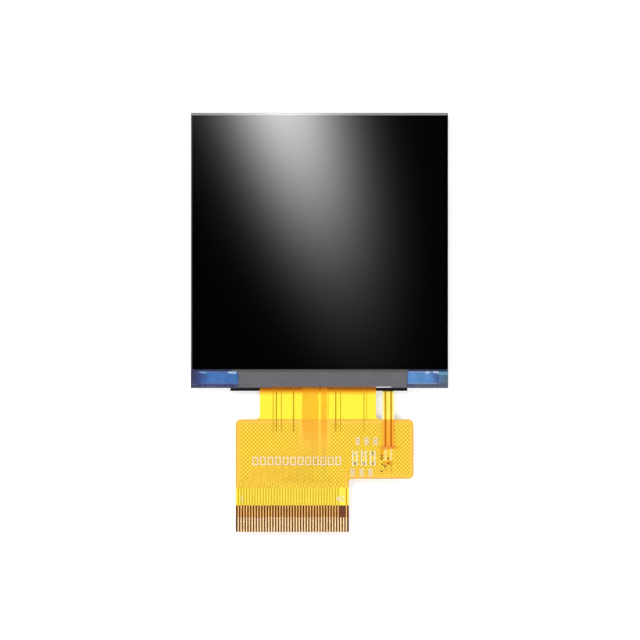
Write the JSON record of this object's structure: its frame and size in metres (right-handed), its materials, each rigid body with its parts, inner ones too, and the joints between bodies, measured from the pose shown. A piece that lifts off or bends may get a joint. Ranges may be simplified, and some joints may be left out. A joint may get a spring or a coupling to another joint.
{
  "type": "tft display module",
  "caption": "Square TFT display module: a semi-matt black screen over a slim steel-backed light frame, with an amber flexible tail that ends in a row of gold contacts.",
  "frame": {"origin": "centre of the panel's flat steel back, which the module lies on", "axes": "+Z out of the screen, +Y towards the panel's edge opposite the flexible tail, +X to the right as the screen is read"},
  "size_m": [0.0466, 0.0756, 0.0022],
  "materials": {
    "tray_steel": "satin rolled sheet",
    "frame_white": "matt moulded",
    "reflector": "silvery film",
    "guide_clear": "clear moulded plate",
    "diffuser": "milky film",
    "prism": "fine ribbed film",
    "lamp_white": "white lamp housing",
    "lamp_yellow": "phosphor filled silicone",
    "lamp_flex": "amber film",
    "copper": "copper under film",
    "black_tape": "matt black tape",
    "grey_tape": "dull grey tape",
    "polarizer_film": "dark film",
    "screen_black": "semi-matt black film",
    "cell_glass": "thin polished glass",
    "seal": "cured resin",
    "fluid": "liquid crystal",
    "silicon": "polished chip",
    "bond": "conductive film",
    "blue_sealant": "glossy cured resin",
    "flex_amber": "amber film",
    "mesh_copper": "copper mesh under film",
    "cover_amber": "clear amber film",
    "stiffener_brown": "brown film",
    "contact_gold": "gold plated",
    "tin": "tinned"
  },
  "bodies": {
    "root": {"rear_bezel": "tray_steel", "backlight_frame": "frame_white", "reflector_film": "reflector", "light_guide_plate": "guide_clear", "diffuser_film": "diffuser", "lower_prism_film": "prism", "upper_prism_film": "prism", "lamp_housings": "lamp_white", "lamp_phosphor": "lamp_yellow", "backlight_flex": "lamp_flex", "backlight_traces": "copper", "rim_tape": "black_tape", "ledge_tape": "black_tape", "rear_polarizer": "polarizer_film", "array_glass": "cell_glass", "cell_seal": "seal", "liquid_crystal": "fluid", "color_filter_glass": "cell_glass", "front_polarizer": "screen_black", "driver_chip": "silicon", "bond_film": "bond", "driver_cover_tape": "grey_tape", "ledge_sealant_left": "blue_sealant", "ledge_sealant_right": "blue_sealant", "flex_base_film": "flex_amber", "ground_mesh": "mesh_copper", "flex_cover_film": "cover_amber", "flex_stiffener": "stiffener_brown", "neck_traces": "copper", "contact_traces": "copper", "contact_fingers": "contact_gold", "jumper_pads": "tin", "lamp_pads": "tin", "solder_joints": "tin"}
  },
  "joints": []
}
